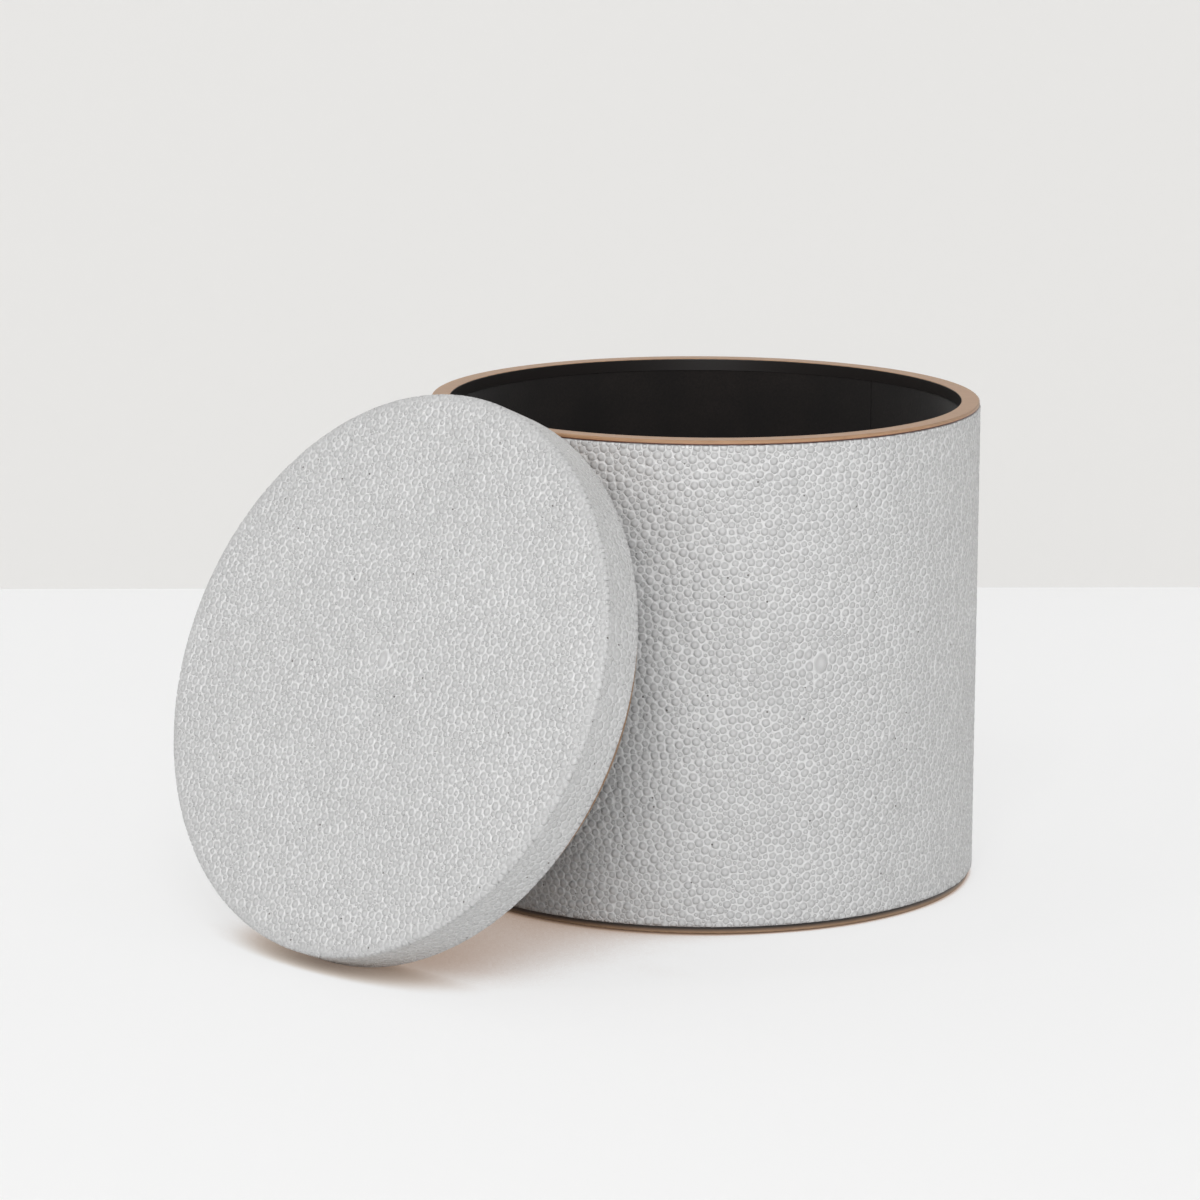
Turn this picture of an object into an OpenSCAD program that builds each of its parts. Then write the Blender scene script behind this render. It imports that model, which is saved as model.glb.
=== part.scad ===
// Round vanity canister for cotton pads, in millimetres. +Z is up, and the origin is the
// centre of the canister's foot. The canister is a board tube between a tan rim ring and a
// tan base board, wrapped in pebbled sheet. Its lid carries a lined plug that fits the
// mouth. The lid is drawn as it is set aside: standing on its lower edge at the canister's
// -Y side, with its plug against the wall just under the rim.

/* [Canister] */
// Outside diameter of the wrapped canister
body_d = 108; // [80:1:150]
// Height of the canister without its lid
body_h = 95; // [70:1:140]
// Width of the tan ring seen from above
rim_w = 3.6; // [3.6:0.1:6]
// Thickness of the base board inside the tube
base_t = 5; // [3:0.5:10]

/* [Pebbled sheet] */
// Thickness of the sheet
sheet_t = 0.9; // [0.6:0.1:1.2]
// Shadow gap between a cut edge of the sheet and the tan edge beside it
reveal = 0.15; // [0.1:0.05:0.4]
// Rounding of the sheet's cut edges
sheet_round = 0.3; // [0.1:0.05:0.4]
// Width of the butt seam where the ends of a strip meet
seam_w = 0.25; // [0.15:0.05:0.5]

/* [Tan edges] */
// Height of the bare edge above the canister's sheet
rim_edge = 0.8; // [0.6:0.1:2]
// Height of the bare edge below the canister's sheet
base_edge = 1.3; // [0.6:0.1:2]
// Height of the bare edge below the lid's sheet
lid_edge = 0.5; // [0.5:0.1:2]
// Setback of the rim's edge from the face of the sheet
edge_inset = 0.15; // [0.1:0.05:0.5]
// Setback of the base board's and the lid board's edge from the face of the sheet
base_inset = 0.6; // [0.4:0.1:0.8]

/* [Lining and felt] */
// Thickness of the black lining on the inner wall and on the plug's face, and of the tan
// strip round the plug
lining_t = 0.4; // [0.3:0.1:0.8]
// Thickness of the pad on the inner floor
pad_t = 0.8; // [0.5:0.1:2]
// Thickness of the felt disc under the base
felt_t = 1; // [0.6:0.1:1.4]
// How far the felt stands below the base board
felt_stand = 0.15; // [0.1:0.05:0.4]
// Width of the base board's bare margin round the felt
felt_margin = 6.4; // [4:0.1:12]

/* [Lid] */
// Thickness of the lid at its edge
lid_t = 9.5; // [7:0.5:16]
// Radius of the lid's upper edge
lid_round = 0.8; // [0.3:0.1:0.8]
// Thickness of the tan board under the lid
lip_t = 2.5; // [2.2:0.1:4]
// Depth of the plug below the lid, with its lining
plug_depth = 6.5; // [4:0.5:12]
// Gap all round between the plug and the rim ring
plug_gap = 0.6; // [0.2:0.1:1]
// Chamfer on the plug's leading edge
plug_chamfer = 1.5; // [0.6:0.1:2.5]

/* [Lean] */
// Lean of the lid from upright as it stands beside the canister
lean = 23.5; // [20:0.5:30]
// Gap left between the leaning plug and the wall behind it
lean_gap = 0.3; // [0.2:0.1:1]

/* [Hidden] */
$fn = 96;

body_r = body_d / 2;
board_r = body_r - sheet_t;
edge_r = body_r - base_inset;
rim_r = body_r - edge_inset;
mouth_r = rim_r - rim_w;
lining_back = 0.1;
lining_r = mouth_r + lining_back;
bore_r = lining_r + lining_t;

base_z = felt_stand;
base_edge_z = base_z + base_edge;
floor_z = base_edge_z + base_t;
felt_r = body_r - base_inset - felt_margin;
felt_play = 0.2;
rim_edge_z = body_h - rim_edge;
rim_under = 1.6;
rim_z = rim_edge_z - rim_under;
tongue_w = 1;
tongue_h = 1.2;
tongue_play = 0.05;
tongue_r = (bore_r + board_r - tongue_w) / 2;
edge_round = 0.25;
// How far a cutter reaches past what it cuts, and how far fused squares run into each other
past = 1;

plug_r = mouth_r - plug_gap;
plug_core_r = plug_r - lining_t;
plug_face_r = plug_core_r - plug_chamfer;
plug_seat = 1;
lid_side_z = lid_edge + reveal;
lid_top_z = lid_t - sheet_t;
core_round = 0.5;

// The lid stands on the rounded edge of its side sheet, and its plug all but meets the wall.
lid_z = (body_r - sheet_round) * cos(lean) - (lid_side_z + sheet_round) * sin(lean)
    + sheet_round;
lid_y = plug_face_r * sin(lean) + plug_depth * cos(lean) + body_r + lean_gap;

sheet_grey = "#C6C6C6";
edge_tan = "#B2987E";
board_brown = "#A98C6A";
lining_black = "#15110F";
felt_brown = "#8C735C";

// Half section of a disc with a rounded upper edge
module disc_section(r, low, high, round_r) {
    translate([0, low]) square([r - round_r, high - low]);
    translate([0, low]) square([r, high - low - round_r]);
    translate([r - round_r, high - round_r])
        intersection() {
            circle(round_r);
            square(round_r);
        }
}

// Half section of a sheet strip stood on edge, with both outer corners rounded
module strip_section(inner, outer, low, high, round_r) {
    translate([inner, low]) square([outer - inner - round_r, high - low]);
    translate([inner, low + round_r]) square([outer - inner, high - low - 2 * round_r]);
    for (z = [low + round_r, high - round_r])
        translate([outer - round_r, z]) circle(round_r);
}

// Plain ring between two radii and two heights
module ring(inner, outer, low, high) {
    rotate_extrude() translate([inner, low]) square([outer - inner, high - low]);
}

// Slot that parts the two ends of a wrapped strip, at an angle from +X
module seam(angle, low, high) {
    rotate([0, 0, angle])
        translate([board_r - past, -seam_w / 2, low - past])
            cube([sheet_t + 2 * past, seam_w, high - low + 2 * past]);
}

// Carries the lid from its closed pose, with its lip board on z = 0, to the lean
module leaning() {
    translate([0, -lid_y, lid_z]) rotate([90 - lean, 0, 0]) children();
}

module base_felt() {
    color(felt_brown)
        rotate_extrude() square([felt_r - felt_play, felt_t]);
}

// Board with a bare lower edge, a spigot in the tube and a pocket for the felt
module base_board() {
    color(edge_tan)
        difference() {
            rotate_extrude() {
                translate([0, base_z]) square([edge_r - edge_round, base_edge]);
                translate([0, base_z + edge_round]) square([edge_r, base_edge - edge_round]);
                translate([edge_r - edge_round, base_z + edge_round]) circle(edge_round);
                translate([0, base_z]) square([bore_r, base_edge + base_t]);
            }
            cylinder(r = felt_r, h = felt_t);
        }
}

// Tube that stands on the base board, with a tongue that locates the rim ring
module wall_tube() {
    color(board_brown)
        rotate_extrude() {
            translate([bore_r, base_edge_z]) square([board_r - bore_r, rim_z - base_edge_z]);
            translate([tongue_r, rim_z - past]) square([tongue_w, tongue_h + past]);
        }
}

// Ring that caps the tube, with a lip over the sheet's cut edge and a groove for the tongue
module rim_ring() {
    groove_r = tongue_r - tongue_play;
    groove_w = tongue_w + 2 * tongue_play;
    color(edge_tan)
        rotate_extrude()
            difference() {
                union() {
                    translate([mouth_r, rim_z]) square([board_r - mouth_r, rim_under + edge_round]);
                    translate([mouth_r + edge_round, rim_edge_z])
                        square([rim_w - 2 * edge_round, rim_edge]);
                    translate([mouth_r, rim_edge_z]) square([rim_w, rim_edge - edge_round]);
                    for (r = [mouth_r + edge_round, rim_r - edge_round])
                        translate([r, body_h - edge_round]) circle(edge_round);
                }
                translate([groove_r, rim_z - past])
                    square([groove_w, tongue_h + tongue_play + past]);
            }
}

// Pebbled sheet round the tube, butted at the back
module body_sheet() {
    low = base_edge_z + reveal;
    high = rim_edge_z - reveal;
    color(sheet_grey)
        difference() {
            rotate_extrude() strip_section(board_r, body_r, low, high, sheet_round);
            seam(90, low, high);
        }
}

module inner_lining() {
    color(lining_black) ring(lining_r, bore_r, floor_z, rim_z);
}

module inner_pad() {
    color(lining_black)
        rotate_extrude() disc_section(lining_r, floor_z, floor_z + pad_t, edge_round);
}

module lid_core() {
    color(board_brown)
        leaning() rotate_extrude() disc_section(board_r, lip_t, lid_top_z, core_round);
}

// Tan board under the lid, with a bare edge below the sheet and a seat for the plug
module lid_lip_board() {
    color(edge_tan)
        leaning()
            difference() {
                rotate_extrude() {
                    square([edge_r - edge_round, lid_edge]);
                    translate([0, edge_round]) square([edge_r, lid_edge - edge_round]);
                    translate([edge_r - edge_round, edge_round]) circle(edge_round);
                    square([board_r, lip_t]);
                }
                translate([0, 0, -past]) cylinder(r = plug_core_r, h = plug_seat + past);
            }
}

module lid_top_sheet() {
    color(sheet_grey)
        leaning() rotate_extrude() disc_section(body_r, lid_top_z, lid_t, lid_round);
}

// Pebbled strip round the lid's edge, butted where the lid stands on it
module lid_side_sheet() {
    color(sheet_grey)
        leaning()
            difference() {
                rotate_extrude()
                    strip_section(board_r, body_r, lid_side_z, lid_top_z, sheet_round);
                seam(-90, lid_side_z, lid_top_z);
            }
}

// Turned plug that centres the lid in the mouth, chamfered to find it easily
module plug_core() {
    face = lining_t - plug_depth;
    color(edge_tan)
        leaning()
            rotate_extrude()
                polygon([
                    [0, face], [plug_face_r, face], [plug_core_r, face + plug_chamfer],
                    [plug_core_r, plug_seat], [0, plug_seat]
                ]);
}

module plug_side_lining() {
    color(edge_tan)
        leaning() ring(plug_core_r, plug_r, lining_t - plug_depth + plug_chamfer, 0);
}

module plug_face_lining() {
    color(lining_black)
        leaning() translate([0, 0, -plug_depth]) cylinder(r = plug_face_r, h = lining_t);
}

base_felt();
base_board();
wall_tube();
rim_ring();
body_sheet();
inner_lining();
inner_pad();
lid_core();
lid_lip_board();
lid_top_sheet();
lid_side_sheet();
plug_core();
plug_side_lining();
plug_face_lining();
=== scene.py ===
# %% [markdown]
# # A round canister for cotton pads
# The canister is a board tube wrapped in pebbled grey sheet, with a tan ring round its mouth
# and a tan board under its foot. Its lid is covered in the same sheet, and leans against the
# wall with its plug towards the canister. The CAD model is loaded first as a fixed frame. It
# gives every size and place, and this script adds the looks: the pebbles, the black linings,
# the felt, the finishes, the room and the camera.

# %% Load the frame
import math

import bmesh
import bpy
import numpy as np
from mathutils import Matrix, Vector
from mathutils.geometry import delaunay_2d_cdt


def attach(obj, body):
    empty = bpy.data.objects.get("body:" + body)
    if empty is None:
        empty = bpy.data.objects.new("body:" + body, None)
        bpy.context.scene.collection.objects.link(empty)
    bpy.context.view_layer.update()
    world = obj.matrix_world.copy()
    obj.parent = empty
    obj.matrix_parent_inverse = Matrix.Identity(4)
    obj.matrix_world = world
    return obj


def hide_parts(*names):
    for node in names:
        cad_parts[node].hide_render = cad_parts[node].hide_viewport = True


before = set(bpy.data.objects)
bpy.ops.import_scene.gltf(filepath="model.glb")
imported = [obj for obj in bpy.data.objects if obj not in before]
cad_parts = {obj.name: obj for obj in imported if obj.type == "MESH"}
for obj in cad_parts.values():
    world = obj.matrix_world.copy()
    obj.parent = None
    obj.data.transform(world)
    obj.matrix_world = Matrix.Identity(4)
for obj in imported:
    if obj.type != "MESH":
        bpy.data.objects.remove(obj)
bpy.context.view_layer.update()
print("CAD nodes:", ", ".join(sorted(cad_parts)))

# %% [markdown]
# ## Sizes
# Blender works in metres, and a maker of boxes thinks in millimetres. Sizes are therefore
# written in millimetres as on the drawing, and multiplied by MM where they reach Blender.
# They repeat the drawing's own values, because every new piece has to fit the CAD parts.

# %% Sizes from the drawing, in millimetres
MM = 0.001
WALL_R = 54.0
BOARD_R = 53.1
MOUTH_R = 50.25
SHEET_T = WALL_R - BOARD_R
SEAM = 0.25
SHEET_LOW, SHEET_HIGH, SHEET_ROUND = 1.6, 94.05, 0.3
FLOOR_Z, LINING_TOP, LINING_R, LINING_T = 6.45, 92.6, 50.35, 0.4
PAD_T = 0.8
FELT_R, FELT_T = 46.8, 1.0
LID_T, LID_ROUND, STRIP_LOW, STRIP_HIGH = 9.5, 0.8, 0.65, 8.6
PLUG_R, PLUG_FACE_R, PLUG_DEPTH, PLUG_CHAMFER = 49.65, 47.75, 6.5, 1.5
LEAN, LEAN_GAP = math.radians(23.5), 0.3

# The lid stands on the rounded lower edge of its side strip
lid_up = ((WALL_R - SHEET_ROUND) * math.cos(LEAN) - (STRIP_LOW + SHEET_ROUND) * math.sin(LEAN)
          + SHEET_ROUND)
lid_out = PLUG_FACE_R * math.sin(LEAN) + PLUG_DEPTH * math.cos(LEAN) + WALL_R + LEAN_GAP
leaning = Matrix.Translation((0, -lid_out * MM, lid_up * MM)) @ Matrix.Rotation(
    math.pi / 2 - LEAN, 4, "X")
print(f"the lid's centre stands {lid_up:.2f} mm up and {lid_out:.2f} mm from the axis")

# %% [markdown]
# ## Helpers for finishes
# A colour picked on a screen is in sRGB, and Blender's shaders want it linear. One function
# does that change. Another adds a node to a material, gives it its settings and wires it up,
# so that each finish below reads as a short list of steps. A CAD part that keeps its own mesh
# is given a finish by name.

# %% Helpers for finishes
def linear(code):
    """An sRGB hex colour as the linear one that a shader wants."""
    parts = [int(code[k:k + 2], 16) / 255 for k in (1, 3, 5)]
    return [p / 12.92 if p <= 0.04045 else ((p + 0.055) / 1.055) ** 2.4 for p in parts] + [1]


def add(finish, kind, settings=None, wires=None):
    """Adds a node to a material, with its settings and the sockets wired to it."""
    tree = finish.node_tree
    node = tree.nodes.new("ShaderNode" + kind)
    for name, value in (settings or {}).items():
        if isinstance(name, str) and name[0].islower():
            setattr(node, name, value)
        else:
            node.inputs[name].default_value = value
    for name, source in (wires or {}).items():
        tree.links.new(source, node.inputs[name])
    return node


def new_finish(name, settings):
    """A material with its main shader's settings, and that shader."""
    finish = bpy.data.materials.new(name)
    finish.use_nodes = True
    shader = finish.node_tree.nodes["Principled BSDF"]
    for socket, value in settings.items():
        shader.inputs[socket].default_value = value
    return finish, shader


def complete(finish, shader, colour, bump):
    """Wires a material's colour and bump to its main shader."""
    finish.node_tree.links.new(colour.outputs[2], shader.inputs["Base Color"])
    finish.node_tree.links.new(bump.outputs[0], shader.inputs["Normal"])
    print("finish:", finish.name)


def cover_node(node, finish):
    """Gives a CAD part its finish."""
    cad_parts[node].data.materials.clear()
    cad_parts[node].data.materials.append(finish)


print("pale grey is", [round(c, 3) for c in linear("#C6C6C6")])

# %% [markdown]
# ## The pebbled sheet: its finish
# The sheet is shagreen-grained coated leather: embossed with round touching pebbles, and
# coated in a satin pale grey. The tops are a little darker than the valleys: partly the coat's
# own tone, and partly painted highlight on the valleys, which stands for the light that the
# pebbles' shoulders catch. Each pebble's mesh carries four things that the finish reads. "rise"
# is 0 in the valley and 1 on the top, "press" is how fully the pebbles stand up there, the UV
# map "pebble" measures from the pebble's own centre in its own radius, and "tone" is a chance
# number for each pebble, because no two took the same amount of colour.

# %% Pebbled sheet finish: where the tops are
shagreen, shader = new_finish("shagreen_coated_leather", {"Roughness": 0.32, "IOR": 1.6})
rise, tone, press = (add(shagreen, "Attribute", {"attribute_name": name})
                     for name in ("rise", "tone", "press"))
own = add(shagreen, "UVMap", {"uv_map": "pebble"})
away = add(shagreen, "VectorMath", {"operation": "LENGTH"}, {0: own.outputs["UV"]})
flank = add(shagreen, "MapRange", {"interpolation_type": "SMOOTHSTEP", "From Min": 1.1,
            "From Max": 0.68}, {"Value": away.outputs["Value"]})
slope = add(shagreen, "MapRange", {"interpolation_type": "SMOOTHSTEP", "From Min": 0.0,
            "From Max": 0.38}, {"Value": rise.outputs["Fac"]})
whole = add(shagreen, "Math", {"operation": "MULTIPLY"},
            {0: flank.outputs[0], 1: slope.outputs[0]})
share = add(shagreen, "MapRange", {"From Min": 0.3, "From Max": 0.9, "To Min": 0.5},
            {"Value": press.outputs["Fac"]})
top = add(shagreen, "Math", {"operation": "MULTIPLY"}, {0: whole.outputs[0], 1: share.outputs[0]})
print("the tops are known from the attributes rise and press and the map pebble")

# %% [markdown]
# The top is painted darkest in a ring, and paler again in its very middle. Where the pebbles
# are pressed flat, at the lid's rolled edge and on its side, the grey is more even and painted
# darker, as painted shade. Over that go the chance tone of each pebble, a slow drift over some
# centimetres, and a few dark pinpricks, about a centimetre apart, where the coat has missed a
# pore.

# %% Pebbled sheet finish: colours
middle = add(shagreen, "MapRange", {"interpolation_type": "SMOOTHSTEP", "From Min": 0.65,
             "From Max": 0.1, "To Max": 0.45}, {"Value": away.outputs["Value"]})
ring = add(shagreen, "Math", {"operation": "SUBTRACT"}, {0: top.outputs[0], 1: middle.outputs[0]})
# Painted shade: pressed pebbles at the lid's edge and side are made darker
pressed_painted_shade = add(shagreen, "MapRange", {"From Min": 0.3, "From Max": 0.9, "To Min": 0.6, "To Max": 0.0},
            {"Value": press.outputs["Fac"]})
dark = add(shagreen, "Math", {"operation": "ADD"}, {0: ring.outputs[0], 1: pressed_painted_shade.outputs[0]})
# The paler valley grey is partly the coat's own tone and partly painted highlight
coat_tone_and_highlight = add(shagreen, "Mix", {"data_type": "RGBA", 6: linear("#D7D7D7"), 7: linear("#B7B7B7")},
            {0: dark.outputs[0]})
place = add(shagreen, "TexCoord")
cloud = add(shagreen, "TexNoise", {"Scale": 1 / 0.022, "Detail": 3.0},
            {"Vector": place.outputs["Object"]})
chance = add(shagreen, "MapRange", {"To Min": 0.94, "To Max": 1.04},
             {"Value": tone.outputs["Fac"]})
drift = add(shagreen, "MapRange", {"From Min": 0.3, "From Max": 0.7, "To Min": 0.98,
            "To Max": 1.02}, {"Value": cloud.outputs["Fac"]})
shade = add(shagreen, "Math", {"operation": "MULTIPLY"},
            {0: chance.outputs[0], 1: drift.outputs[0]})
tinted = add(shagreen, "VectorMath", {"operation": "SCALE"},
             {0: coat_tone_and_highlight.outputs[2], "Scale": shade.outputs[0]})
SPECK_CELL, SPECK_EDGE = 0.0036, (0.04, 0.065)
specks = add(shagreen, "TexVoronoi", {"Scale": 1 / SPECK_CELL},
             {"Vector": place.outputs["Object"]})
pin = add(shagreen, "MapRange", {"From Min": SPECK_EDGE[0], "From Max": SPECK_EDGE[1]},
          {"Value": specks.outputs["Distance"]})
coat = add(shagreen, "Mix", {"data_type": "RGBA", 6: linear("#5E5A57")},
           {0: pin.outputs[0], 7: tinted.outputs[0]})
print(f"a pinprick's radius is {SPECK_EDGE[1] * SPECK_CELL / MM:.2f} mm at most")

# %% [markdown]
# The mesh gives each pebble its dome. The bump only sharpens the foot of the dome by 0.15 mm
# and adds the grit of the coat, whose grains are about a third of a millimetre wide.

# %% Pebbled sheet finish: bump
grit = add(shagreen, "TexNoise", {"Scale": 1 / 0.00035, "Detail": 2.0},
           {"Vector": place.outputs["Object"]})
height = add(shagreen, "Math", {"operation": "MULTIPLY_ADD", 1: 0.05},
             {0: grit.outputs["Fac"], 2: top.outputs[0]})
bump = add(shagreen, "Bump", {"Strength": 1.0, "Distance": 0.15 * MM},
           {"Height": height.outputs[0]})
complete(shagreen, shader, coat, bump)

# %% [markdown]
# ## The pebbled sheet: scattering the pebbles
# A shagreen grain is a close packing of pebbles in a few sizes, as chance lays them. Modelling
# one pebble and copying it would leave gaps or overlaps, so the sheet is worked out flat, as a
# pattern cutter would, and only then wrapped. First the centres are scattered on a fine grid:
# a few large pearls have fixed places, then come the large pebbles, and ever smaller ones fill
# what is left. GRAIN gives each size as a radius in millimetres and the share that it varies
# by, and SQUEEZE lets neighbours press into each other a little. A seeded generator gives the
# same sheet each time.

# %% Scatter the centres of the pebbles
GRID = 0.125
GRAIN = ((0.80, 0.08), (0.68, 0.08), (0.53, 0.10), (0.38, 0.10))
SQUEEZE = 0.96


def scatter(low, high, inside, pearls, seed):
    """Centres and radii of pebbles in a flat area, in millimetres."""
    random = np.random.default_rng(seed)
    across = np.arange(low[0], high[0], GRID) + GRID / 2
    up = np.arange(low[1], high[1], GRID) + GRID / 2
    room = inside(across[None, :], up[:, None])
    placed = [tuple(p) for p in pearls]

    def stamp(free, x, y, reach):
        i0, i1 = np.searchsorted(across, (x - reach, x + reach))
        j0, j1 = np.searchsorted(up, (y - reach, y + reach))
        near = (across[None, i0:i1] - x) ** 2 + (up[j0:j1, None] - y) ** 2 < reach ** 2
        free[j0:j1, i0:i1] &= ~near

    for radius, spread in GRAIN:
        free = room.copy()
        for x, y, r in placed:
            stamp(free, x, y, (r + radius) * SQUEEZE)
        while True:
            spots = np.flatnonzero(free)
            if not len(spots):
                break
            random.shuffle(spots)
            for spot in spots[:max(200, len(spots) // 20)]:
                j, i = divmod(int(spot), len(across))
                if free[j, i]:
                    r = radius * random.uniform(1 - spread, 1 + spread)
                    placed.append((across[i], up[j], r))
                    stamp(free, across[i], up[j], (r + radius) * SQUEEZE)
    placed = np.array(placed)
    print(f"{len(placed)} pebbles, of which {len(pearls)} are pearls")
    return placed[:, :2], placed[:, 2]


# %% [markdown]
# ## The pebbled sheet: from centres to cells
# Pebbles that touch share a border, so each one fills a cell. The centres are joined to
# triangles, and each triangle gives one corner, where three pebbles meet. The corner is the
# point that keeps its distance from the three circles, held inside its triangle so that no
# cell can fold over. Beyond the sheet's edges the centres are mirrored, which makes the cells
# end exactly on the edge, as if a knife had cut them.

# %% Mirrored centres beyond the edges
MIRROR_DEPTH = 5


def mirror_strip(points, wide, high):
    """The centres mirrored across a strip's four edges, with the edges they belong to."""
    out, edges, source = [], [], []
    for sx in (None, 0.0, wide):
        for sy in (None, 0.0, high):
            if sx is None and sy is None:
                continue
            near = np.ones(len(points), bool)
            p = points.copy()
            if sx is not None:
                near &= abs(points[:, 0] - sx) < MIRROR_DEPTH
                p[:, 0] = 2 * sx - p[:, 0]
            if sy is not None:
                near &= abs(points[:, 1] - sy) < MIRROR_DEPTH
                p[:, 1] = 2 * sy - p[:, 1]
            out.append(p[near])
            source.append(np.flatnonzero(near))
            mark = (-1 if sx is None else sx, -1 if sy is None else sy)
            edges.append(np.tile(mark, (near.sum(), 1)))
    return np.concatenate(out), np.concatenate(edges), np.concatenate(source)


def mirror_disc(points, edge):
    """The centres mirrored across a disc's edge."""
    r = np.hypot(*points.T)
    near = np.flatnonzero(r > edge - MIRROR_DEPTH)
    p = points[near] * ((2 * edge - r[near]) / r[near])[:, None]
    return p, np.full((len(near), 2), -1.0), near


print("centres are mirrored from up to", MIRROR_DEPTH, "mm inside an edge")

# %% Cells of the pebbles
LEAST_SHARE, EDGE_SNAP = 0.1, 0.02


def centres_of(a, b, c, wa, wb, wc):
    """Points with the same power to three circles, one for each triangle."""
    m = np.stack([b - a, c - a], 1) * 2
    k = np.stack([(b * b).sum(1) - (a * a).sum(1) - wb + wa,
                  (c * c).sum(1) - (a * a).sum(1) - wc + wa], 1)
    det = m[:, 0, 0] * m[:, 1, 1] - m[:, 0, 1] * m[:, 1, 0]
    det = np.where(abs(det) < 1e-9, 1e-9, det)
    x = (k[:, 0] * m[:, 1, 1] - k[:, 1] * m[:, 0, 1]) / det
    y = (k[:, 1] * m[:, 0, 0] - k[:, 0] * m[:, 1, 0]) / det
    return np.stack([x, y], 1)


def cells(points, radii, mirror, disc_edge=None):
    """Corners of all cells, whether each lies on the sheet's edge, and each cell's sectors.
    A sector is a row of pebble, corner and next corner, and runs anticlockwise."""
    extra, edges, source = mirror(points)
    everything = np.concatenate([points, extra])
    weight = np.concatenate([radii, radii[source]]) ** 2
    marks = np.concatenate([np.full((len(points), 2), -1.0), edges])
    made = delaunay_2d_cdt([tuple(p) for p in everything], [], [], 0, 1e-7)
    faces = np.array([f for f in made[2] if len(f) == 3])
    first = np.array([o[0] for o in made[3]])
    faces = first[faces]
    ghost = faces >= len(points)
    faces, ghost = faces[~ghost.all(1)], ghost[~ghost.all(1)]
    a, b, c = (everything[faces[:, k]] for k in range(3))
    mixed = ghost.any(1)
    w = [np.where(mixed, 0, weight[faces[:, k]]) for k in range(3)]
    corner = centres_of(a, b, c, *w)
    area = np.cross(b - a, c - a)
    share = np.stack([np.cross(b - corner, c - corner), np.cross(c - corner, a - corner),
                      np.cross(a - corner, b - corner)], 1) / area[:, None]
    share = np.clip(share, LEAST_SHARE, None)
    share /= share.sum(1)[:, None]
    held = share[:, :1] * a + share[:, 1:2] * b + share[:, 2:] * c
    corner = np.where(mixed[:, None], corner, held)
    if disc_edge:
        r = np.hypot(*corner.T)
        corner = np.where(mixed[:, None], corner * (disc_edge / r)[:, None], corner)
    else:
        pin = np.where(ghost[:, :, None], marks[faces], -1).max(1)
        corner = np.where(pin < 0, corner, pin)
    # Corners on the edge come twice, once from each side of the mirror, and are made one
    key = np.where(mixed[:, None], np.round(corner / EDGE_SNAP) * EDGE_SNAP, corner)
    key[~mixed] += 1e-5
    _, index, back = np.unique(np.round(key, 6), axis=0, return_index=True, return_inverse=True)
    back = back.ravel()
    corners, on_edge = corner[index], mixed[index]
    # Round each pebble its corners are put in order, and each is paired with the next
    pebble = faces.ravel()
    vertex = np.repeat(back, 3)
    real = pebble < len(points)
    pairs = np.unique(np.stack([pebble[real], vertex[real]], 1), axis=0)
    d = corners[pairs[:, 1]] - points[pairs[:, 0]]
    order = np.lexsort((np.arctan2(d[:, 1], d[:, 0]), pairs[:, 0]))
    pairs = pairs[order]
    start = np.flatnonzero(np.r_[True, np.diff(pairs[:, 0]) > 0])
    following = np.arange(1, len(pairs) + 1)
    following[np.r_[start[1:] - 1, len(pairs) - 1]] = start
    sectors = np.column_stack([pairs, pairs[following, 1]])
    return corners, on_edge, sectors, following


def settle(points, radii, mirror, disc_edge=None, rounds=2, pull=0.6):
    """Lets each pebble slide towards the middle of its cell, as neighbours push evenly."""
    for _ in range(rounds):
        corners, _, sectors, _ = cells(points, radii, mirror, disc_edge)
        a, b = corners[sectors[:, 1]], corners[sectors[:, 2]]
        p = points[sectors[:, 0]]
        size = np.cross(a - p, b - p) / 2
        total = np.bincount(sectors[:, 0], size, len(points))
        middle = (p + a + b) / 3 * size[:, None]
        middle = np.stack([np.bincount(sectors[:, 0], middle[:, k], len(points))
                           for k in (0, 1)], 1) / total[:, None]
        points = points + (middle - points) * pull
    return points


print("the cells are ready to be worked out")

# %% [markdown]
# ## The pebbled sheet: how finely each pebble is modelled
# A pebble is a dome with up to three rings of faces between its border and its middle. All the
# pebbles together may not have too many faces, so the rings are handed out by size: three for
# the pearls, one for everyone, and then more for the largest as long as there are some left.

# %% Rings for each pebble
FACES_AT_MOST = 186000
PEARL = 1.25
# For one, two and three rings: how far in from the border, in millimetres, and how high
PROFILE = {1: ((0.34, 0.80),), 2: ((0.16, 0.50), (0.40, 0.90)),
           3: ((0.14, 0.45), (0.30, 0.80), (0.60, 0.95))}


def rings_for(radii, sides, edge_points):
    """The number of rings of each pebble, from its radius and its number of sides."""
    levels = np.zeros(len(radii), int)
    spare = FACES_AT_MOST - sides.sum() - 4 * edge_points
    by_size = np.argsort(-radii, kind="stable")
    for wanted, least in ((3, PEARL), (1, 0.0), (2, 0.0), (3, 0.0)):
        more = np.clip(wanted - levels, 0, None) * 2 * sides
        chosen = by_size[(np.cumsum(more[by_size]) < spare) & (radii[by_size] >= least)]
        spare -= more[chosen].sum()
        levels[chosen] = np.maximum(levels[chosen], wanted)
    return levels


print("a sheet has at most", FACES_AT_MOST, "triangles")

# %% [markdown]
# ## The pebbled sheet: its edge and its back
# Around the sheet's edge a wall goes down to the back, and the back is closed too, so that the
# sheet is a solid skin. The back has a coarse grid of points of its own, so that it bends as
# the sheet does.

# %% Edge and back of a sheet
BACK_GRID, BACK_MARGIN = (4.0, 9.0), 3


def edge_of(on_edge, a, b):
    """The points round the sheet's edge in order, from the border sectors that nobody shares."""
    border = on_edge[a] & on_edge[b]
    pair = {(x, y) for x, y in zip(a[border], b[border])}
    loose = [(x, y) for x, y in pair if (y, x) not in pair]
    onward = dict(loose)
    loop = [loose[0][0]]
    while onward[loop[-1]] != loop[0]:
        loop.append(onward[loop[-1]])
    return np.array(loop)


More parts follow.
